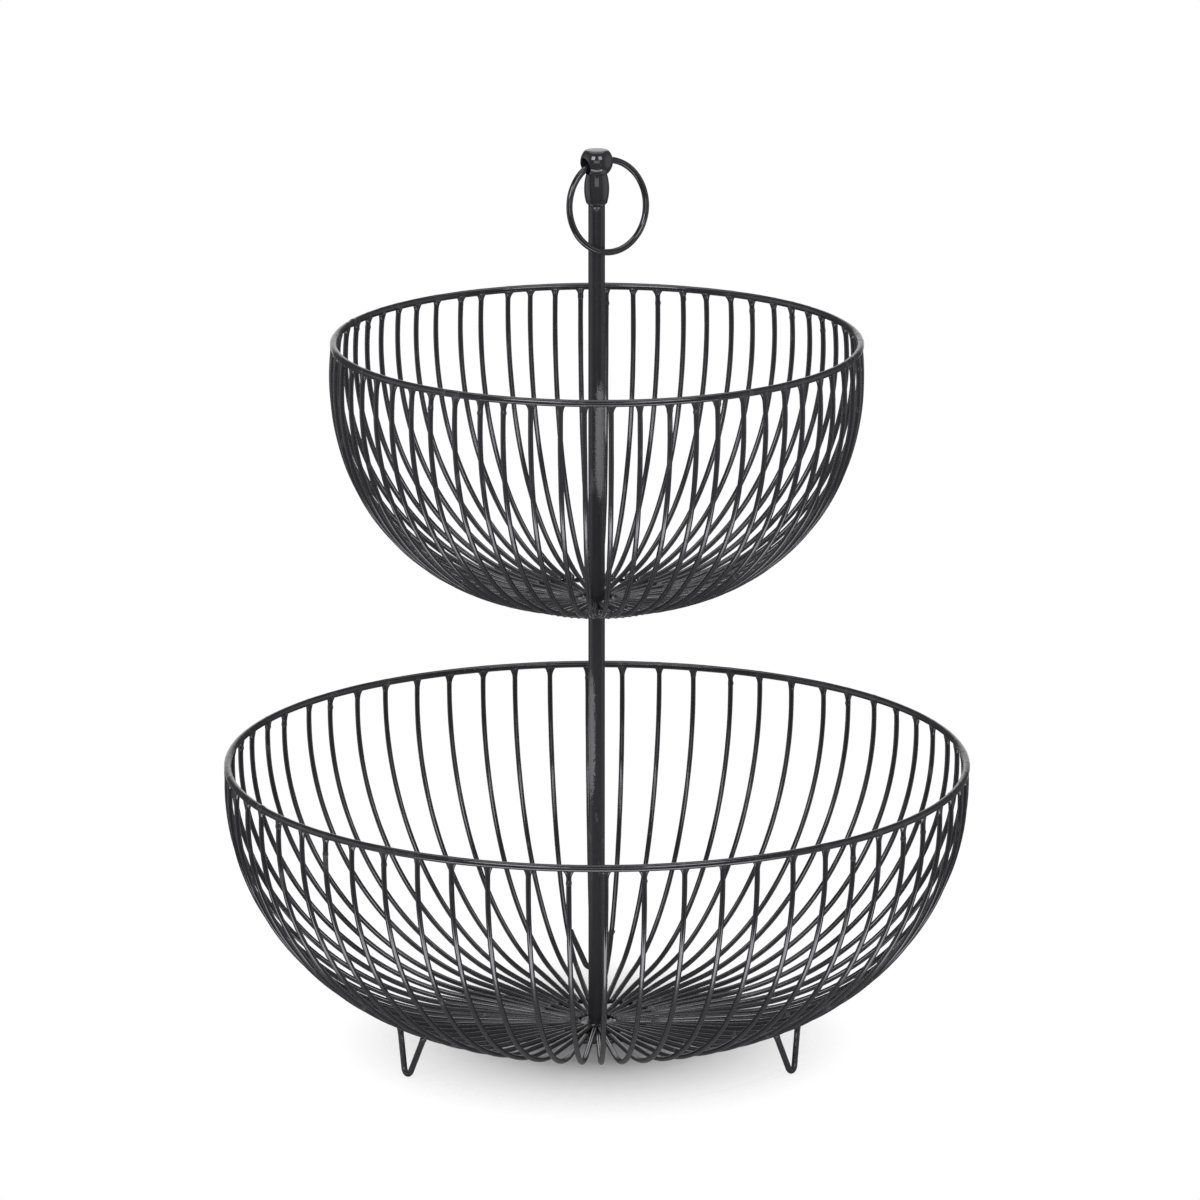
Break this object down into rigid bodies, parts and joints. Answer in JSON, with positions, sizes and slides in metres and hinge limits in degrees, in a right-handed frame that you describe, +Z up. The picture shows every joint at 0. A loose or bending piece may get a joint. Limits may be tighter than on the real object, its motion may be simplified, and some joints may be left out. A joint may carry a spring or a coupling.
{
  "type": "tiered wire basket",
  "caption": "Tiered basket of wire bowls on a central pole: a wide bowl on hairpin feet, a smaller bowl above, and a ball finial with a loose carrying ring. Holds fruit or small goods.",
  "frame": {"origin": "on the floor under the pole, in the middle of the feet's plane", "axes": "+Z up along the pole, -Y to the front of the picture, +X to its right; the back foot is at +Y"},
  "size_m": [0.36, 0.36, 0.4411],
  "materials": {
    "painted_iron": "charcoal, semi-gloss, hand-painted, slightly uneven",
    "zinc_steel": "plain zinc-plated"
  },
  "bodies": {
    "stand": {"lower_rim": "painted_iron", "lower_long_ribs": "painted_iron", "lower_short_ribs": "painted_iron", "lower_hoop": "painted_iron", "lower_hub_plate": "painted_iron", "upper_rim": "painted_iron", "upper_long_ribs": "painted_iron", "upper_short_ribs": "painted_iron", "upper_hoop": "painted_iron", "upper_hub_plate": "painted_iron", "foot_back": "painted_iron", "foot_left": "painted_iron", "foot_right": "painted_iron", "lower_pole": "painted_iron", "upper_pole": "painted_iron", "finial": "painted_iron", "pole_stud": "zinc_steel", "finial_stud": "zinc_steel", "base_screw": "zinc_steel"},
    "ring": {"ring": "painted_iron"}
  },
  "joints": [
    {"name": "ring_swing", "type": "hinge", "parent": "stand", "child": "ring", "pos_m": [0, 0, 0.43379], "axis": [-0.8387, -0.5446, 0], "range_deg": [0, 343.9]}
  ]
}
